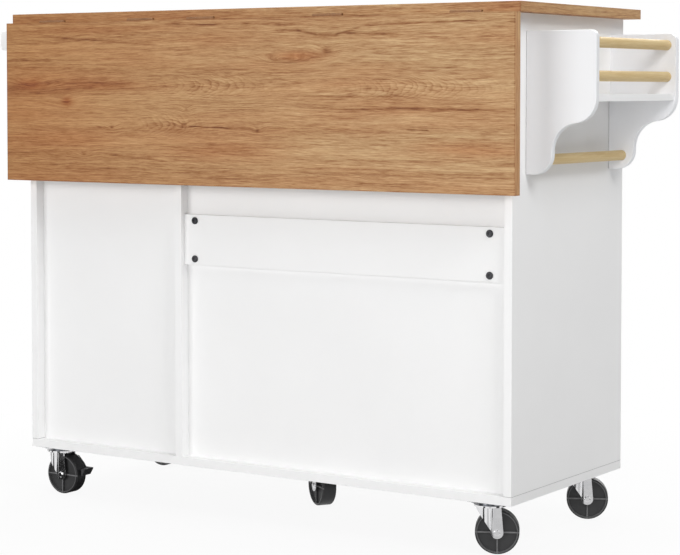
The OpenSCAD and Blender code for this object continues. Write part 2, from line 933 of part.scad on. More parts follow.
module runner_pair(x, w, moving) {
    y0 = -half_d + board + 5;
    l = box_l - 10;
    bar_h = runner_h - 2 * runner_sheet - 2 * pass_gap;
    channel = runner_space - 2;
    for (s = [0, 1]) {
        wall = s == 0 ? x : x + w;
        if (moving)
            block(s == 0 ? wall + runner_sheet + pass_gap : wall - runner_space, y0,
                  runner_z + runner_sheet + pass_gap,
                  runner_space - runner_sheet - pass_gap, l, bar_h);
        else
            difference() {
                block(s == 0 ? wall : wall - channel, y0, runner_z, channel, l, runner_h);
                block(s == 0 ? wall + runner_sheet : wall - runner_space, y0 - 1,
                      runner_z + runner_sheet, runner_space - runner_sheet, l + 2,
                      runner_h - 2 * runner_sheet);
            }
    }
}

module fixed_runners() {
    color("silver") place() {
        runner_pair(wide_x, wide_w, false);
        runner_pair(narrow_x, narrow_w, false);
    }
}

module wide_drawer_front() {
    drawer_front(wide_x, wide_w);
}

module wide_drawer_box() {
    drawer_box(wide_x, wide_w);
}

module wide_drawer_runners() {
    color("silver") place() runner_pair(wide_x, wide_w, true);
}

module wide_drawer_knobs() {
    for (s = [-1, 1]) knob(wide_x + wide_w / 2 + s * wide_w / 4, front_z + front_h / 2);
}

module narrow_drawer_front() {
    drawer_front(narrow_x, narrow_w);
}

module narrow_drawer_box() {
    drawer_box(narrow_x, narrow_w);
}

module narrow_drawer_runners() {
    color("silver") place() runner_pair(narrow_x, narrow_w, true);
}

module narrow_drawer_knob() {
    knob(narrow_x + narrow_w / 2, front_z + front_h / 2);
}

bottom_board();
left_side();
right_side();
divider();
back_panels();
rear_rail();
rear_rail_bolts();
stretchers();
middle_boards();
shelves();
shelf_pins();
worktop();
fixed_runners();
rack_rear_panel();
rack_front_panel();
rack_shelf();
rack_back();
rack_rails();
holder_arms();
holder_bar();
leaf_hinge_plates();
support_channels();
caster_plates();
caster_screws();
door_hinge_plates();
drop_leaf();
leaf_hinge_flaps();
leaf_arms();
leaf_stays();
left_door();
left_door_knob();
left_door_hinges();
middle_door();
middle_door_knob();
middle_door_hinges();
right_door();
right_door_knob();
right_door_hinges();
wide_drawer_front();
wide_drawer_box();
wide_drawer_runners();
wide_drawer_knobs();
narrow_drawer_front();
narrow_drawer_box();
narrow_drawer_runners();
narrow_drawer_knob();
rear_left_fork();
rear_left_wheel();
rear_right_fork();
rear_right_wheel();
rear_right_pedal();
front_left_fork();
front_left_wheel();
front_right_fork();
front_right_wheel();
front_right_pedal();
centre_fork();
centre_wheel();
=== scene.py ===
import math

import bpy
from mathutils import Euler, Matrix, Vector


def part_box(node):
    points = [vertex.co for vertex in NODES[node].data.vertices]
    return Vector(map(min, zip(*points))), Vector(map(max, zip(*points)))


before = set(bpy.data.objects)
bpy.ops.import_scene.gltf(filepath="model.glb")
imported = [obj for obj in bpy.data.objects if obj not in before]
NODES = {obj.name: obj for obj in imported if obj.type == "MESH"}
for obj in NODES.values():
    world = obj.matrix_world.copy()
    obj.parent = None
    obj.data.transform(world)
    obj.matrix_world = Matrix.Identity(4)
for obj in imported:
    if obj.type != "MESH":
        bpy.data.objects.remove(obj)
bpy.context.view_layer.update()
MM = 0.001

# Kitchen island with a hanging oak leaf, seen from behind: looks, lamps, floor and camera.
# Lengths are in metres unless a comment says mm, and screen shades go from 0 to 255.


# Screen shades

def shade(red, green, blue):
    """The shader colour of a screen shade."""
    levels = []
    for level in (red, green, blue):
        share = level / 255
        if share <= 0.04045:
            levels.append(share / 12.92)
        else:
            levels.append(((share + 0.055) / 1.055) ** 2.4)
    return (*levels, 1)


def grey(level):
    return shade(level, level, level)


PURE_WHITE = (1, 1, 1, 1)
WHITE = grey(247)
SOFT_WHITE = grey(244)


# Small helpers that write shader nodes

LOW_NOISE = 0.3
HIGH_NOISE = 0.7


class Nodes:
    """Writes the nodes of one shader tree."""

    def __init__(self, tree):
        self.tree = tree

    def add(self, kind, **settings):
        node = self.tree.nodes.new(kind)
        for key, value in settings.items():
            setattr(node, key, value)
        return node

    def feed(self, socket, value):
        """Links value to the socket if it is an output, or else sets it there."""
        if isinstance(value, bpy.types.NodeSocket):
            self.tree.links.new(value, socket)
        else:
            socket.default_value = value

    def feed_all(self, node, *values):
        for socket, value in zip(node.inputs, values):
            self.feed(socket, value)
        return node.outputs[0]

    def calc(self, operation, *values):
        return self.feed_all(self.add("ShaderNodeMath", operation=operation), *values)

    def plus(self, first, second):
        return self.calc("ADD", first, second)

    def minus(self, first, second):
        return self.calc("SUBTRACT", first, second)

    def times(self, first, second):
        return self.calc("MULTIPLY", first, second)

    def scale_add(self, value, factor, rest):
        """value times factor, plus rest."""
        return self.calc("MULTIPLY_ADD", value, factor, rest)

    def magnitude(self, value):
        """value without its sign."""
        return self.calc("ABSOLUTE", value)

    def sway(self, value, noise, reach):
        """value moved to both sides by a noise."""
        return self.scale_add(self.minus(noise, 0.5), reach, value)

    def fade(self, square):
        """1 where square is 0, and falling to 0 as it grows, like a bell."""
        return self.calc("EXPONENT", self.times(square, -1))

    def vector(self, operation, first, second=None):
        node = self.add("ShaderNodeVectorMath", operation=operation)
        self.feed(node.inputs[0], first)
        if second is not None:
            self.feed(node.inputs[1], second)
        if operation in ("DOT_PRODUCT", "LENGTH"):
            return node.outputs["Value"]
        return node.outputs["Vector"]

    def place(self):
        """The point in the part's own frame."""
        return self.add("ShaderNodeTexCoord").outputs["Object"]

    def split(self, vector):
        node = self.add("ShaderNodeSeparateXYZ")
        self.feed(node.inputs[0], vector)
        return list(node.outputs)

    def join(self, x, y, z):
        return self.feed_all(self.add("ShaderNodeCombineXYZ"), x, y, z)

    def noise(self, vector, detail=2, roughness=0.5, scale=1):
        node = self.add("ShaderNodeTexNoise")
        self.feed(node.inputs["Vector"], vector)
        self.feed(node.inputs["Scale"], scale)
        self.feed(node.inputs["Detail"], detail)
        self.feed(node.inputs["Roughness"], roughness)
        return node.outputs["Fac"]

    def spread(self, value, low, high, to_low=0, to_high=1, smooth=False):
        """value from low to high becomes to_low to to_high, and stays inside them."""
        node = self.add("ShaderNodeMapRange")
        if smooth:
            node.interpolation_type = "SMOOTHSTEP"
        self.feed(node.inputs["Value"], value)
        self.feed(node.inputs["From Min"], low)
        self.feed(node.inputs["From Max"], high)
        self.feed(node.inputs["To Min"], to_low)
        self.feed(node.inputs["To Max"], to_high)
        return node.outputs["Result"]

    def stretch(self, noise, to_low=0, to_high=1):
        """A noise, which mostly stays between two levels, becomes to_low to to_high."""
        return self.spread(noise, LOW_NOISE, HIGH_NOISE, to_low, to_high)

    def mix(self, factor, first, second, kind="MIX"):
        node = self.add("ShaderNodeMix", data_type="RGBA", blend_type=kind)
        self.feed(node.inputs[0], factor)
        self.feed(node.inputs[6], first)
        self.feed(node.inputs[7], second)
        return node.outputs[2]

    def ramp(self, factor, stops):
        node = self.add("ShaderNodeValToRGB")
        self.feed(node.inputs[0], factor)
        line = node.color_ramp
        line.elements[0].position = stops[0][0]
        line.elements[0].color = stops[0][1]
        line.elements[1].position = stops[-1][0]
        line.elements[1].color = stops[-1][1]
        for position, colour in stops[1:-1]:
            line.elements.new(position).color = colour
        return node.outputs[0]

    def glow(self, colour):
        node = self.add("ShaderNodeEmission")
        self.feed(node.inputs["Color"], colour)
        return node.outputs[0]

    def blend(self, factor, first, second):
        """The shader first where factor is 0 and second where it is 1."""
        return self.feed_all(self.add("ShaderNodeMixShader"), factor, first, second)

    def seen(self):
        """1 for rays that show a surface and 0 for those that only light it."""
        path = self.add("ShaderNodeLightPath").outputs
        mirrored = self.calc("MAXIMUM", path["Is Glossy Ray"], path["Is Transmission Ray"])
        return self.calc("MAXIMUM", path["Is Camera Ray"], mirrored)


class Finish(Nodes):
    """One procedural material and the nodes that make it."""

    def __init__(self, name):
        self.material = bpy.data.materials.new(name)
        self.material.use_nodes = True
        super().__init__(self.material.node_tree)
        self.shader = self.tree.nodes["Principled BSDF"]

    def set(self, **values):
        """Feeds the shader's sockets, named with _ for each space."""
        for name, value in values.items():
            self.feed(self.shader.inputs[name.replace("_", " ")], value)

    def bump(self, height, distance, strength):
        node = self.add("ShaderNodeBump")
        self.feed(node.inputs["Height"], height)
        self.feed(node.inputs["Distance"], distance)
        self.feed(node.inputs["Strength"], strength)
        self.set(Normal=node.outputs["Normal"])

    def surface(self, shader):
        """Shows another shader instead of the plain one."""
        self.feed(self.tree.nodes["Material Output"].inputs["Surface"], shader)


# Where the camera stands and how it looks, a little lower than the worktop

PHOTO_WIDTH = 680
PHOTO_HEIGHT = 555
CAMERA_PLACE = (-2.1204, 3.1463, 0.7778)
CAMERA_DIP = math.radians(2.572)
CAMERA_TURN = -2.558465
CAMERA_ROTATION = (math.radians(90) - CAMERA_DIP, 0, CAMERA_TURN)
LENS = 107.72
SENSOR_WIDTH = 36
SHIFT_X = 0.0030
SHIFT_Y = -0.14


# Oak: long streaks, fine fibres, arched rings, ovals and knots

OAK_STOPS = (
    (0.00, shade(110, 62, 30)),
    (0.25, shade(153, 107, 66)),
    (0.50, shade(182, 143, 100)),
    (0.75, shade(202, 168, 124)),
    (1.00, shade(218, 187, 144)),
)
OAK_TONE = 0.57
OAK_REDDER = shade(238, 201, 178)
OAK_HOLDER_END = shade(232, 210, 187)
HOLDER_END_FROM = -0.30
HOLDER_END_TO = 0.50
SHORT_END_FACING = 0.7

# How far the grain, the outlines of marks and the thin streaks sway
SLOW_WAVE = 0.014
QUICK_WAVE = 0.002
MARK_WAVE = 0.006
STREAK_WAVE = 0.009

# Rings, arches, knots and the lines of the edge bands, and what each adds to the tone
RING_PITCH = 0.0068
RING_SWAY = 3.0
RING_WEIGHT = -0.18
ARCH_BOW = 3.4
ARCH_WAVE = 2.4
ARCH_WEIGHT = -0.36
KNOT_PULL = 0.006
DARK_WEIGHT = -0.66
BAND_LINE_START = (0.0003, 0.0008)
BAND_LINE_END = (0.0014, 0.0022)
BAND_LINE_WEIGHT = -0.22

# Layers of the grain: how fine along and across, detail, roughness, shift, pull of the arches,
# the noise levels where it starts and ends, the level it starts with, and its weight in the tone
OAK_LAYERS = {
    "broad": (1.1, 26, 3, 0.55, 3.1, 0, 0.30, 0.70, -1, 0.10),
    "middle": (2.4, 84, 3, 0.60, 7.7, 0.25, 0.28, 0.72, -1, 0.10),
    "fibre": (7, 230, 3, 0.60, 1.3, 0.6, 0.25, 0.75, -1, 0.14),
    "hair": (30, 560, 3, 0.70, 9.2, 0.9, 0.28, 0.72, -1, 0.26),
    "pores": (70, 1300, 2, 0.60, 5.9, 0, 0.25, 0.75, -1, 0.16),
    "deep": (1.9, 62, 3, 0.62, 11.4, 0, 0.56, 0.74, 0, -0.15),
    "dashes": (9, 330, 2, 0.55, 17.3, 0, 0.60, 0.70, 0, -0.12),
}

# Marks that are placed in the photograph. Each starts with the column and row of a pixel.
# Arches go on with half length, half width and pitch in mm, and knots with half length and
# half width in mm and darkness.
SEEN_ARCHES = {
    "right": (420, 88, 130, 22, 14),
    "middle": (212, 86, 105, 24, 20),
    "lower_left": (170, 124, 66, 24, 15),
}
SEEN_KNOTS = {
    "lower_left": (111.8, 127.6, 5, 3, 0.75),
    "left": (65.9, 101.5, 12, 7, 0.22),
    "at_crack": (183.5, 124.7, 5, 3, 0.7),
    "lower_middle": (257.4, 130.6, 4, 3, 0.55),
    "upper_middle": (326, 51, 9, 5, 0.55),
}

# Patches go on with half width and half height in pixels, and then how much lighter and redder
SEEN_PATCHES = {
    "pale_lower_right": (410, 118, 70, 7, 0.16, 0),
    "pale_middle": (215, 95, 60, 5, 0.08, 0),
    "pale_left": (60, 97.7, 41, 4.3, 0.14, 0),
    "pale_low_middle": (300, 150, 60, 5, 0.10, 0),
    "pale_upper_right": (400, 40, 40, 5, 0.12, 0),
    "pale_upper_middle": (230, 60, 50, 8, 0.06, 0),
    "red_upper_knot": (297, 56, 26, 5.2, -0.12, 0.8),
    "red_left_end": (30, 84, 16, 6, -0.05, 0.6),
    "red_lower_left": (70, 138, 60, 12, 0.02, 0.5),
    "red_lower_right": (470, 150, 50, 9, -0.04, 0.5),
    "red_upper_left": (90, 30, 60, 5, -0.04, 0.4),
    "red_left_middle": (110, 86.5, 50, 6, -0.06, 0.35),
    "red_low_middle": (230, 150, 60, 10, -0.04, 0.3),
    "red_left_knot": (67, 101, 5.3, 4.3, -0.12, 0.8),
}

# Streaks go on with the pixel where they end, and then half width in mm and darkness
SEEN_STREAKS = {
    "upper_left": (34, 36, 158.2, 45.5, 2.6, 0.42),
    "top_left": (159.5, 23.9, 251.2, 23.5, 2.2, 0.55),
    "top_middle": (237.4, 23.3, 303, 24.1, 2.4, 0.50),
    "wave_start": (274.6, 30, 298.2, 30, 2.0, 0.38),
    "wave_falls": (295.8, 29.5, 317.5, 34.9, 2.6, 0.55),
    "wave_foot": (312.6, 34.9, 339.2, 35.1, 3.0, 0.50),
    "wave_rises": (334.3, 35.1, 361.4, 27, 2.2, 0.45),
    "top_right": (356.5, 25.9, 490.6, 20, 1.8, 0.55),
    "below_wave": (344.2, 33.2, 399, 33.4, 1.8, 0.42),
    "middle": (279.4, 96, 412.7, 96.7, 1.6, 0.45),
    "right": (300.6, 108.1, 506.5, 109.9, 1.8, 0.60),
    "left_crack": (184.8, 125.8, 232.2, 128.1, 1.0, 0.95),
    "right_crack": (405.5, 129.6, 429.7, 131.1, 1.0, 0.75),
    "low_left": (103.5, 153.4, 168.7, 161.5, 1.6, 0.38),
}


def on_leaf(column, row):
    """The place along and up the leaf's outer face, in mm, that shows at a pixel."""
    right = (column - PHOTO_WIDTH / 2) / PHOTO_WIDTH + SHIFT_X
    up = (PHOTO_HEIGHT / 2 - row) / PHOTO_WIDTH + SHIFT_Y
    sight = Vector((right * SENSOR_WIDTH / LENS, up * SENSOR_WIDTH / LENS, -1))
    sight.rotate(Euler(CAMERA_ROTATION))
    reach = (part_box("drop_leaf")[1].y - CAMERA_PLACE[1]) / sight.y
    point = Vector(CAMERA_PLACE) + reach * sight
    return point.x / MM, point.z / MM


def patch_on_leaf(column, row, half_columns, half_rows):
    """The place, half length and half width, in mm, of a patch given in pixels."""
    along, across = on_leaf(column, row)
    half_length = abs(on_leaf(column + half_columns, row)[0] - along)
    half_width = on_leaf(column, row - half_rows)[1] - across
    return along, across, half_length, half_width


# Marks of each board, in mm. Each starts with its place along and across the board.
# Ovals, arches, patches and knots go on with half length and half width, and then:
# ovals with lift, arches with pitch, knots with darkness, patches with lighter and redder.
# Streaks go on with the place where they end, half width and darkness.
LEAF_MARKS = {
    "ovals": (
        (500, 788, 70, 14, 8),
    ),
    "arches": tuple(
        (*on_leaf(column, row), *rest) for column, row, *rest in SEEN_ARCHES.values()
    ),
    "patches": tuple(
        (*patch_on_leaf(*spot), lighter, redder) for *spot, lighter, redder in SEEN_PATCHES.values()
    ),
    "knots": (
        *((*on_leaf(column, row), *rest) for column, row, *rest in SEEN_KNOTS.values()),
        (125, 745, 4, 2.5, 0.4),
        (35, 790, 9, 2.5, 0.28),
        (-100, 830, 42, 5, 0.14),
        (-120, 831, 16, 2, 0.30),
        (-75, 831, 14, 2, 0.35),
        (365, 660, 6, 2, 0.45),
        (505, 783, 60, 12, 0.18),
    ),
    "streaks": (
        *(
            (*on_leaf(column, row), *on_leaf(last_column, last_row), *rest)
            for column, row, last_column, last_row, *rest in SEEN_STREAKS.values()
        ),
        (-235, 621, -350, 621, 1.8, 0.32),
        (552, 870, 420, 866, 2.0, 0.34),
        (552, 838, 440, 838, 2.4, 0.32),
        (480, 795, 240, 790, 2.2, 0.30),
        (510, 760, 390, 742, 1.6, 0.22),
        (338, 712, 302, 708, 1.2, 0.60),
        (160, 632, 20, 634, 1.8, 0.22),
        (-60, 800, -130, 790, 1.4, 0.28),
        (-380, 830, -545, 828, 1.4, 0.22),
        (-300, 815, -545, 800, 1.6, 0.18),
    ),
}
TOP_MARKS = {
    "ovals": (
        (-160, 60, 170, 26, 30),
        (250, -90, 130, 20, 24),
    ),
    "arches": (
        (90, 20, 160, 26, 18),
        (-330, -90, 140, 24, 16),
    ),
    "patches": (
        (-520, 0, 60, 240, -0.16, 0.5),
        (200, 180, 260, 20, 0.10, 0),
        (-200, -10, 220, 26, 0.08, 0),
        (420, -40, 120, 40, -0.05, 0.5),
    ),
    "knots": (
        (330, 70, 7, 5, 0.6),
        (-390, -120, 6, 4, 0.55),
        (40, -40, 5, 3, 0.4),
    ),
    "streaks": (
        (480, 130, 100, 118, 2.2, 0.40),
        (-60, -70, -480, -62, 2.0, 0.45),
        (300, 20, 60, 12, 1.2, 0.50),
        (-240, 150, -520, 160, 2.4, 0.35),
        (520, -170, 220, -160, 1.8, 0.35),
    ),
}


class Oak(Finish):
    """Oak of one board. axes names which of x, y and z run along, across and into the board."""

    def __init__(self, name, board, axes, marks, offset):
        super().__init__(name)
        self.offset = offset
        self.ways = ["xyz".index(axis) for axis in axes]
        self.lay_grain()
        self.bend_over_ovals(marks["ovals"])
        self.draw_arches(marks["arches"])
        self.draw_knots(marks["knots"])
        self.draw_streaks(marks["streaks"])
        self.tint_patches(marks["patches"])
        self.paint(board)

    def lay_grain(self):
        """Sets the way of the grain, which runs along the edge band on the short ends."""
        parts = self.split(self.place())
        self.length, self.width, self.depth = (parts[way] for way in self.ways)
        normal = self.add("ShaderNodeNewGeometry").outputs["True Normal"]
        facing = self.magnitude(self.split(normal)[self.ways[0]])
        on_end = self.calc("GREATER_THAN", facing, SHORT_END_FACING)
        self.along = self.scale_add(on_end, self.minus(self.width, self.length), self.length)
        self.across = self.scale_add(on_end, self.minus(self.depth, self.width), self.width)
        slow = self.drift(1.4, 4, self.depth)
        self.quick = self.drift(7, 20, self.depth)
        self.field = self.sway(self.sway(self.across, slow, SLOW_WAVE), self.quick, QUICK_WAVE)
        self.marked_place = self.join(self.along, self.sway(self.across, self.quick, MARK_WAVE), 0)

    def drift(self, along_scale, across_scale, third):
        """Noise drawn out along the straight grain."""
        return self.noise(self.join(
            self.scale_add(self.along, along_scale, self.offset),
            self.times(self.across, across_scale),
            third,
        ))

    def streak(self, along_scale, across_scale, detail, roughness, shift, arched=0):
        """Noise drawn out along the bent grain."""
        place = self.join(
            self.scale_add(self.along, along_scale, shift + self.offset),
            self.scale_add(self.arch_turn, arched, self.times(self.field, across_scale)),
            self.times(self.depth, across_scale),
        )
        return self.noise(place, detail, roughness)

    def hill(self, along, across, half_length, half_width):
        """1 at a place given in mm, falling to 0 around it."""
        away = self.vector("SUBTRACT", self.marked_place, (along * MM, across * MM, 0))
        away = self.vector("MULTIPLY", away, (1 / (half_length * MM), 1 / (half_width * MM), 0))
        return self.fade(self.vector("DOT_PRODUCT", away, away))

    def year_rings(self, turns, power, edge):
        """One ring a turn, which darkens slowly and ends sharply."""
        tooth = self.calc("FRACT", turns)
        return self.times(self.calc("POWER", tooth, power), self.spread(tooth, edge, 1, 1, 0))

    def bend_over_ovals(self, ovals):
        self.near_ovals = 0
        for along, across, half_length, half_width, lift in ovals:
            near = self.hill(along, across, half_length, half_width)
            self.field = self.scale_add(near, lift * MM, self.field)
            self.near_ovals = self.plus(near, self.near_ovals)

    def draw_arches(self, arches):
        self.arch_rings = 0
        self.arch_turn = 0
        uneven = self.drift(45, 60, 0)
        for along, across, half_length, half_width, pitch in arches:
            near = self.hill(along, across, half_length, half_width)
            side = self.times(self.minus(self.across, across * MM), 1 / (half_width * MM))
            bow = self.times(self.calc("POWER", self.magnitude(side), 2), ARCH_BOW)
            rise = self.scale_add(self.minus(self.along, along * MM), -1 / (pitch * MM), bow)
            rise = self.sway(rise, uneven, ARCH_WAVE)
            self.arch_rings = self.scale_add(self.year_rings(rise, 2, 0.82), near, self.arch_rings)
            self.arch_turn = self.scale_add(rise, near, self.arch_turn)

    def draw_knots(self, knots):
        """Dark knots, and the grain that bends around them."""
        self.dark = 0
        for along, across, half_length, half_width, darkness in knots:
            near = self.hill(along, across, half_length, half_width)
            around = self.hill(along, across, half_length * 2.2 + 6, half_width * 1.6 + 4)
            self.field = self.scale_add(around, KNOT_PULL, self.field)
            self.dark = self.scale_add(near, darkness, self.dark)

    def draw_streaks(self, streaks):
        """Thin dark lines with faded ends, uneven along their length."""
        place = self.join(self.times(self.along, 30), self.times(self.across, 120), self.offset)
        strength = self.spread(self.noise(place), 0.34, 0.6, 0.5, 1.1)
        for along, across, last_along, last_across, half_width, darkness in streaks:
            slope = (last_across - across) / (last_along - along)
            reach = abs(last_along - along) / 2 * MM
            from_middle = self.minus(self.along, (along + last_along) / 2 * MM)
            line = self.minus(self.across, (across + last_across) / 2 * MM)
            line = self.sway(self.scale_add(from_middle, -slope, line), self.quick, STREAK_WAVE)
            line = self.times(self.magnitude(line), 1 / (half_width * MM))
            thin = self.fade(self.calc("POWER", line, 2))
            ends = self.spread(self.magnitude(from_middle), reach * 0.72, reach * 1.08, 1, 0, True)
            mark = self.times(self.times(thin, ends), strength)
            self.dark = self.scale_add(mark, darkness, self.dark)

    def tint_patches(self, patches):
        self.lighter = 0
        self.redder = 0
        for along, across, half_length, half_width, lighter, redder in patches:
            near = self.hill(along, across, half_length, half_width)
            self.lighter = self.scale_add(near, lighter, self.lighter)
            self.redder = self.scale_add(near, redder, self.redder)

    def rings(self):
        """Fine rings of the whole board, clearer in places and over the ovals."""
        sway = self.times(self.streak(1.5, 16, 2, 0.5, 2.2), RING_SWAY)
        rings = self.year_rings(self.scale_add(self.field, 1 / RING_PITCH, sway), 3, 0.90)
        clear = self.spread(self.drift(3, 22, 2), 0.42, 0.66, 0.10, 0.5)
        return self.times(rings, self.scale_add(self.near_ovals, 0.6, clear))

    def band_lines(self, board, tone):
        """Adds fine dark lines where the edge bands meet the face."""
        low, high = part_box(board)
        for value, way in ((self.length, self.ways[0]), (self.width, self.ways[1])):
            from_middle = self.magnitude(self.minus(value, (low[way] + high[way]) / 2))
            inward = self.minus((high[way] - low[way]) / 2, from_middle)
            starts = self.spread(inward, *BAND_LINE_START)
            ends = self.spread(inward, *BAND_LINE_END, 1, 0)
            tone = self.scale_add(self.times(starts, ends), BAND_LINE_WEIGHT, tone)
        return tone

    def paint(self, board):
        tone = OAK_TONE
        layers = {}
        for label, (*grain, low, high, first_level, weight) in OAK_LAYERS.items():
            layers[label] = self.spread(self.streak(*grain), low, high, first_level, 1)
            tone = self.scale_add(layers[label], weight, tone)
        tone = self.scale_add(self.rings(), RING_WEIGHT, tone)
        tone = self.scale_add(self.arch_rings, ARCH_WEIGHT, tone)
        tone = self.scale_add(self.dark, DARK_WEIGHT, tone)
        tone = self.band_lines(board, self.plus(tone, self.lighter))
        colour = self.ramp(tone, OAK_STOPS)
        toward_holder = self.spread(self.length, HOLDER_END_FROM, HOLDER_END_TO)
        tint = self.mix(toward_holder, PURE_WHITE, OAK_HOLDER_END)
        colour = self.mix(1, colour, tint, "MULTIPLY")
        cloud_along = self.scale_add(self.along, 2.2, self.offset + 4)
        cloud_place = self.join(cloud_along, self.times(self.field, 22), self.depth)
        clouds = self.spread(self.noise(cloud_place, 3), 0.40, 0.68, 0, 0.45)
        redder = self.calc("MINIMUM", self.plus(self.redder, clouds), 1)
        colour = self.mix(redder, colour, OAK_REDDER, "MULTIPLY")
        rough = self.spread(layers["fibre"], -1, 1, 0.5, 0.62)
        self.set(Base_Color=colour, Roughness=rough, Specular_IOR_Level=0.28)
        relief = self.scale_add(layers["pores"], 0.4, self.times(self.dark, -1.5))
        self.bump(self.scale_add(layers["hair"], 0.6, relief), 0.00012, 0.6)


leaf_oak = Oak("oak_leaf_face", "drop_leaf", "xzy", LEAF_MARKS, 4.0).material
top_oak = Oak("oak_worktop", "worktop", "xyz", TOP_MARKS, 21.0).material


# White boards and pine dowels

# A fine dark line of painted shade where two boards meet
JOINT_SHADE = shade(160, 160, 161)
JOINT_SHADE_HALF_WIDTH = (0.0005, 0.0010)
PINE_STOPS = (
    (0.1, shade(198, 168, 116)),
    (0.5, shade(214, 189, 141)),
    (0.9, shade(226, 206, 162)),
)


def laminate(name, clean, worn, gloss, joint=None):
    """Faintly uneven painted or foil-faced board.

    joint is the axis and the place of a joint, along which a fine dark line of painted shade runs.
    """
    f = Finish(name)
    place = f.place()
    cloud = f.noise(place, 3, 0.6, 3.5)
    speck = f.noise(place, 2, 0.6, 900)
    skin = f.noise(place, 3, 0.55, 260)
    colour = f.ramp(f.stretch(cloud), ((0, worn), (1, clean)))
    colour = f.mix(f.stretch(speck, 0, 0.10), colour, worn)
    if joint:
        axis, at = joint
        away = f.magnitude(f.minus(f.split(place)["xyz".index(axis)], at))
        # Painted shade: the joint is drawn as a fine dark line
        colour = f.mix(f.spread(away, *JOINT_SHADE_HALF_WIDTH, 1, 0), colour, JOINT_SHADE)
    rough = f.stretch(skin, gloss - 0.05, gloss + 0.07)
    f.set(Base_Color=colour, Roughness=rough, Specular_IOR_Level=0.35)
    f.bump(skin, 0.00006, 0.35)
    return f.material


def pine(name):
    """Pine whose grain runs along y, as the dowels do."""
    f = Finish(name)
    place = f.place()
    grain = f.noise(f.vector("MULTIPLY", place, (150, 6, 150)), 3, 0.6)
    hair = f.noise(f.vector("MULTIPLY", place, (900, 30, 900)))
    tone = f.scale_add(f.stretch(hair, -1, 1), 0.16, grain)
    rough = f.stretch(hair, 0.52, 0.66)
    f.set(Base_Color=f.ramp(tone, PINE_STOPS), Roughness=rough, Specular_IOR_Level=0.22)
    f.bump(hair, 0.0001, 0.4)
    return f.material


# Metals and plastics

def metal(name, light, dull, low_rough, high_rough, brushed):
    """Metal with faint blotches. brushed is the share of fine level lines in its relief."""
    f = Finish(name)
    place = f.place()
    blotch = f.noise(place, 3, 0.6, 60)
    lines = f.noise(f.vector("MULTIPLY", place, (90, 90, 1500)))
    colour = f.ramp(f.stretch(blotch), ((0, dull), (1, light)))
    rough = f.stretch(blotch, high_rough, low_rough)
    f.set(Base_Color=colour, Roughness=rough, Metallic=1)
    f.bump(f.mix(brushed, blotch, lines), 0.00008, 0.35)
    return f.material


def plastic(name, light, dark, rough, grain_size, depth):
    f = Finish(name)
    place = f.place()
    blotch = f.noise(place, 3, 0.6, 45)
    grain = f.noise(place, 2, 0.6, grain_size)
    colour = f.ramp(f.stretch(blotch), ((0, dark), (1, light)))
    rough = f.stretch(grain, rough - 0.06, rough + 0.08)
    f.set(Base_Color=colour, Roughness=rough, Specular_IOR_Level=0.4)
    f.bump(grain, depth, 0.5)
    return f.material


WHEEL_BLACK = shade(35, 35, 36)
WHEEL_SHEEN = shade(44, 44, 45)
# The paler shade of the painted highlight on each wheel's rim and ribs
WHEEL_PAINTED_HIGHLIGHT = shade(116, 116, 117)

# Where the painted highlights on a wheel's rim and ribs start and end, from its middle plane or from
# their own middle
FACE_SIDE = (0.0085, 0.0100)
RIB_SIDE = (0.0112, 0.0124)
RIB_HALF_WIDTH = (0.0008, 0.0016)
RIM_RADIUS = 0.0340
RIM_HALF_WIDTH = (0.0004, 0.0013)


def wheel_plastic(name, turn):
    """Black plastic with painted highlights, a little paler, on its rim and ribs.

    turn is the way the caster faces, in degrees.
    """
    f = Finish("moulded_" + name)
    low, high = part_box(name)
    place = f.place()
    away = f.vector("SUBTRACT", place, tuple((low + high) / 2))
    cosine, sine = math.cos(math.radians(turn)), math.sin(math.radians(turn))
    across, up, side = (
        f.magnitude(f.vector("DOT_PRODUCT", away, way))
        for way in ((cosine, sine, 0), (0, 0, 1), (-sine, cosine, 0))
    )
    out = f.calc("SQRT", f.plus(f.calc("POWER", across, 2), f.calc("POWER", up, 2)))
    # Painted highlight: the rim and ribs are drawn paler, as if light caught them, broken up by a noise
    ribs = f.spread(f.calc("MINIMUM", across, up), *RIB_HALF_WIDTH, 1, 0)
    ribs = f.times(ribs, f.spread(side, *RIB_SIDE))
    rim = f.spread(f.magnitude(f.minus(out, RIM_RADIUS)), *RIM_HALF_WIDTH, 1, 0)
    painted_highlight = f.calc("MAXIMUM", ribs, f.times(rim, 0.7))
    painted_highlight = f.times(painted_highlight, f.spread(side, *FACE_SIDE))
    highlight_breakup = f.noise(place, 3, 0.6, 140)
    painted_highlight = f.times(painted_highlight, f.stretch(highlight_breakup, 0.6, 1))
    blotch = f.noise(place, 3, 0.6, 45)
    colour = f.ramp(f.stretch(blotch), ((0, WHEEL_BLACK), (1, WHEEL_SHEEN)))
    colour = f.mix(painted_highlight, colour, WHEEL_PAINTED_HIGHLIGHT)
    grain = f.noise(place, 2, 0.6, 800)
    rough = f.stretch(grain, 0.4, 0.56)
    f.set(Base_Color=colour, Roughness=rough, Specular_IOR_Level=0.4)
    f.bump(grain, 0.0001, 0.5)
    return f.material


# The way each caster faces at rest, in degrees
WHEEL_TURNS = {
    "rear_left_wheel": 208,
    "rear_right_wheel": 180,
    "front_left_wheel": 207,
    "front_right_wheel": 0,
    "centre_wheel": 146,
}


# Which finish each node has

BOARD_GLOSS = 0.42
board_joint = ("z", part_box("bottom_board")[1].z)
rack_joint = ("x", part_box("left_side")[0].x)
# The rack's front panel has a cooler copy of the white laminate, tinted for the light that falls on it:
# painted light
RACK_LIT_TINT_WHITES = (shade(246, 247, 250), shade(243, 244, 247))
# The rack's rear panel has a darker copy of the white laminate: painted shade
RACK_REAR_SHADED_WHITES = (shade(237, 238, 240), shade(234, 235, 237))

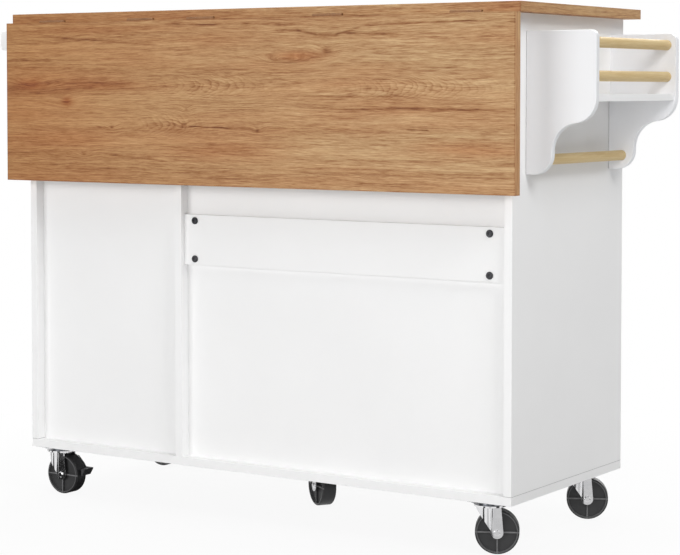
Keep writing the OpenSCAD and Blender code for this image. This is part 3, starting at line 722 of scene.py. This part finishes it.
FINISHES = {
    "white_board": laminate("white_laminate", WHITE, SOFT_WHITE, BOARD_GLOSS),
    "drawer_board": laminate("drawer_laminate", shade(238, 236, 231), shade(230, 228, 222), 0.5),
    "oak_board": top_oak,
    "pine_dowel": pine("pine_dowels"),
    "black_steel": metal("blackened_steel", shade(62, 62, 64), shade(40, 40, 42), 0.34, 0.5, 0.3),
    "white_steel": laminate("painted_steel", grey(240), grey(234), 0.3),
    "zinc_steel": metal("zinc_plate", shade(236, 236, 237), shade(222, 222, 224), 0.07, 0.13, 0.5),
    "dark_steel": metal("dark_steel", shade(120, 122, 126), shade(86, 88, 92), 0.3, 0.46, 0.4),
    "black_tread": plastic("black_tread", shade(58, 58, 59), shade(44, 44, 45), 0.62, 700, 0.0002),
    "black_plastic": plastic("black_plastic", shade(58, 58, 60), shade(48, 48, 50), 0.42, 1200, 0.00008),
    "knob_steel": metal("brushed_knob", grey(200), grey(170), 0.24, 0.36, 0.8),
    "steel": metal("plain_steel", shade(196, 198, 201), shade(160, 163, 168), 0.2, 0.38, 0.5),
}
side_board = laminate("side_laminate", WHITE, SOFT_WHITE, BOARD_GLOSS, board_joint)
bronzed = plastic("bronzed_hinge", shade(152, 112, 76), shade(128, 90, 58), 0.5, 900, 0.00008)
OWN_FINISHES = {
    "drop_leaf": leaf_oak,
    "left_side": side_board,
    "right_side": side_board,
    "rack_front_panel": laminate("rack_lit_tint_laminate", *RACK_LIT_TINT_WHITES, BOARD_GLOSS, rack_joint),
    "rack_rear_panel": laminate("rack_rear_shaded_laminate", *RACK_REAR_SHADED_WHITES, BOARD_GLOSS, rack_joint),
    "leaf_hinge_plates": bronzed,
    "leaf_hinge_flaps": bronzed,
}
for part_name, turn in WHEEL_TURNS.items():
    OWN_FINISHES[part_name] = wheel_plastic(part_name, turn)

for part_name, part in NODES.items():
    for index, held in enumerate(part.data.materials):
        kind = held.name.split(".")[0]
        part.data.materials[index] = FINISHES[kind]
    if part_name in OWN_FINISHES:
        part.data.materials[0] = OWN_FINISHES[part_name]


# Soft edges on the CAD meshes, by modifiers

SMOOTH_ANGLE = math.radians(32)
BEVEL_ANGLE = math.radians(35)
FLAT_ANGLE = math.radians(0.6)
BEVEL_SEGMENTS = 3
WELD_REACH = 0.00001


def smoothing_group():
    """Shades smooth over every edge flatter than SMOOTH_ANGLE, and sharp over the others."""
    group = bpy.data.node_groups.new("smooth_by_angle", "GeometryNodeTree")
    group.interface.new_socket("Geometry", in_out="INPUT", socket_type="NodeSocketGeometry")
    group.interface.new_socket("Geometry", in_out="OUTPUT", socket_type="NodeSocketGeometry")
    nodes, links = group.nodes, group.links
    start, end = nodes.new("NodeGroupInput"), nodes.new("NodeGroupOutput")
    plain = nodes.new("GeometryNodeRemoveAttribute")
    plain.inputs["Name"].default_value = "custom_normal"
    faces = nodes.new("GeometryNodeSetShadeSmooth")
    faces.domain = "FACE"
    edges = nodes.new("GeometryNodeSetShadeSmooth")
    edges.domain = "EDGE"
    angle = nodes.new("GeometryNodeInputMeshEdgeAngle")
    flat = nodes.new("FunctionNodeCompare")
    flat.operation = "LESS_THAN"
    flat.inputs[1].default_value = SMOOTH_ANGLE
    links.new(start.outputs[0], plain.inputs["Geometry"])
    links.new(plain.outputs[0], faces.inputs["Geometry"])
    links.new(faces.outputs[0], edges.inputs["Geometry"])
    links.new(angle.outputs["Unsigned Angle"], flat.inputs[0])
    links.new(flat.outputs[0], edges.inputs["Shade Smooth"])
    links.new(edges.outputs[0], end.inputs[0])
    return group


SMOOTH = smoothing_group()


def soften(part, width):
    """Rounds the edges of one CAD node by width in mm."""
    weld = part.modifiers.new("join_points", "WELD")
    weld.merge_threshold = WELD_REACH
    flat = part.modifiers.new("flat_faces", "DECIMATE")
    flat.decimate_type = "DISSOLVE"
    flat.angle_limit = FLAT_ANGLE
    bevel = part.modifiers.new("soft_edges", "BEVEL")
    bevel.width = width * MM
    bevel.segments = BEVEL_SEGMENTS
    bevel.limit_method = "ANGLE"
    bevel.angle_limit = BEVEL_ANGLE
    smooth = part.modifiers.new("smooth_faces", "NODES")
    smooth.node_group = SMOOTH
    even = part.modifiers.new("even_shading", "WEIGHTED_NORMAL")
    even.keep_sharp = True


# Widths of the rounded edges in mm, of single nodes and of nodes by the ends of their names
NODE_EDGES = {
    "rack_rear_panel": 2.4,
    "rack_front_panel": 2.4,
    "rack_shelf": 0.8,
    "rack_back": 0.6,
    "rack_rails": 1.2,
    "holder_arms": 1.5,
    "holder_bar": 1.2,
    "worktop": 0.7,
    "drop_leaf": 0.7,
    "rear_rail": 0.8,
    "rear_rail_bolts": 0.5,
}
ENDING_EDGES = (
    (("_wheel", "_pedal"), 0.5),
    (("_fork", "_plates", "_flaps", "_hinges", "_runners", "_screws", "_pins"), 0.25),
    ("", 0.6),
)


def edge_width(name):
    if name in NODE_EDGES:
        return NODE_EDGES[name]
    return next(width for endings, width in ENDING_EDGES if name.endswith(endings))


for part_name, part in NODES.items():
    soften(part, edge_width(part_name))


# Floor and world, which look white but give less light than that

FLOOR_SIZE = 60
FLOOR_DROP = 0.0004
FLOOR_SHADES = ((0, grey(202)), (1, grey(208)))
GLOW_NEAR = 0.3
GLOW_FAR = 1.3
LEAST_GLOW = 0.92
WORLD_FILL = 0.12


def floor_material():
    """Pale floor, clear from below. Its glow leaves only a faint shadow, and none far away."""
    f = Finish("pale_floor")
    place = f.place()
    grain = f.noise(place, 3, 0.6, 18)
    f.set(Base_Color=f.ramp(grain, FLOOR_SHADES), Roughness=0.9, Specular_IOR_Level=0.1)
    away = f.vector("LENGTH", f.vector("MULTIPLY", place, (1, 1, 0)))
    share = f.spread(away, GLOW_NEAR, GLOW_FAR, LEAST_GLOW, 1, True)
    pale = f.blend(f.times(share, f.seen()), f.shader.outputs[0], f.glow(PURE_WHITE))
    clear = f.add("ShaderNodeBsdfTransparent").outputs[0]
    from_below = f.add("ShaderNodeNewGeometry").outputs["Backfacing"]
    f.surface(f.blend(from_below, pale, clear))
    return f.material


bpy.ops.mesh.primitive_plane_add(size=FLOOR_SIZE, location=(0, 0, -FLOOR_DROP))
floor = bpy.context.object
floor.name = "floor"
floor.data.materials.append(floor_material())

world = bpy.data.worlds.new("studio")
bpy.context.scene.world = world
world.use_nodes = True
sky = Nodes(world.node_tree)
sky.tree.nodes.clear()
fill, white = (
    sky.feed_all(sky.add("ShaderNodeBackground"), PURE_WHITE, strength)
    for strength in (WORLD_FILL, 1)
)
sky.feed(sky.add("ShaderNodeOutputWorld").inputs["Surface"], sky.blend(sky.seen(), fill, white))


# Lamps

MIDDLE = (0, 0, 0.45)


def aim_at(thing, place, aim):
    """Puts thing at place with its front toward aim."""
    thing.location = place
    thing.rotation_mode = "QUATERNION"
    thing.rotation_quaternion = (Vector(aim) - Vector(place)).to_track_quat("-Z", "Y")


def lamp(name, place, aim, size, power):
    data = bpy.data.lights.new(name, "AREA")
    data.shape = "RECTANGLE"
    data.size, data.size_y = size
    data.energy = power
    thing = bpy.data.objects.new(name, data)
    aim_at(thing, place, aim)
    bpy.context.scene.collection.objects.link(thing)


lamp("rear_left_softbox", (1.8, 4.8, 1.1), MIDDLE, (3.0, 2.0), 90)
lamp("rear_right_softbox", (-2.4, 4.2, 1.4), MIDDLE, (2.4, 2.0), 48)
lamp("rack_softbox", (-3.2, 1.3, 3.4), (-0.5, 0, 0.6), (1.8, 1.8), 86)
lamp("top_softbox", (0.2, -0.2, 4.4), (0, 0, 0.5), (2.6, 2.6), 70)
lamp("front_softbox", (0.8, -4.4, 2.4), MIDDLE, (2.4, 2.4), 120)
lamp("holder_softbox", (4.6, -0.8, 1.8), MIDDLE, (2.0, 2.0), 78)


# Dark studio cards that show in reflections only

CARD_AIM = (0, 0, 0.1)
CARD_SHADES = ((0, grey(24)), (1, grey(34)))


def reflected_plane(name, place, size, material):
    """A plane that shows in reflections only."""
    bpy.ops.mesh.primitive_plane_add(size=1, location=place)
    thing = bpy.context.object
    thing.name = name
    thing.scale = (*size, 1)
    thing.data.materials.append(material)
    thing.visible_camera = False
    thing.visible_diffuse = False
    thing.visible_shadow = False
    thing.visible_transmission = False
    return thing


def card(name, place, size):
    f = Finish(name)
    f.set(Base_Color=f.ramp(f.noise(f.place(), scale=3), CARD_SHADES), Roughness=0.9)
    aim_at(reflected_plane(name, place, size, f.material), place, CARD_AIM)


card("left_card", (3.2, 3.4, 0.6), (0.9, 2.6))
card("middle_card", (-0.4, 5.0, 0.6), (0.5, 2.6))
card("right_card", (-4.6, 0.9, 0.6), (0.8, 2.6))


# Strips on the floor by the casters. They show in reflections only, and lie where the camera
# sees them as stripes in the plated forks. Seen from elsewhere the forks look plainer.

STRIP_LENGTH = 0.50
STRIP_DISTANCE = 0.35
STRIP_HEIGHT = 0.001
STRIP_STEP = 0.0002

# Each strip's lean from the fork's side in degrees, tone and width
STRIPS = {
    "leg": (0, 212, 0.10),
    "nose": (20, 30, 0.09),
    "bend": (-27, 60, 0.18),
}

# The one caster whose leg shows no pale stripe
SHADED_LEG_WHEEL = "rear_right_wheel"
SHADED_LEG_TONE = 40


def strip(name, place, turn, tone, width):
    """A flat strip of one even tone, running away from a caster in the direction turn."""
    f = Finish(name)
    f.surface(f.glow(grey(tone)))
    thing = reflected_plane(name, place, (STRIP_LENGTH, width), f.material)
    thing.rotation_euler.z = turn


for number, (part_name, turn) in enumerate(WHEEL_TURNS.items()):
    low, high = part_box(part_name)
    middle = (low + high) / 2
    sight = math.atan2(CAMERA_PLACE[1] - middle.y, CAMERA_PLACE[0] - middle.x)
    for label, (lean, tone, width) in STRIPS.items():
        if label == "leg" and part_name == SHADED_LEG_WHEEL:
            tone = SHADED_LEG_TONE
        away = math.radians(2 * (turn - 90 - lean)) - sight
        place = (
            middle.x + STRIP_DISTANCE * math.cos(away),
            middle.y + STRIP_DISTANCE * math.sin(away),
            STRIP_HEIGHT + STRIP_STEP * number,
        )
        strip(part_name + "_" + label + "_strip", place, away, tone, width)


# Camera

data = bpy.data.cameras.new("camera")
data.sensor_width = SENSOR_WIDTH
data.sensor_fit = "HORIZONTAL"
data.lens = LENS
data.shift_x = SHIFT_X
data.shift_y = SHIFT_Y
data.clip_start, data.clip_end = 0.05, 100
camera = bpy.data.objects.new("camera", data)
camera.location = CAMERA_PLACE
camera.rotation_euler = CAMERA_ROTATION
bpy.context.scene.collection.objects.link(camera)
bpy.context.scene.camera = camera

bpy.context.scene.view_settings.view_transform = "Standard"
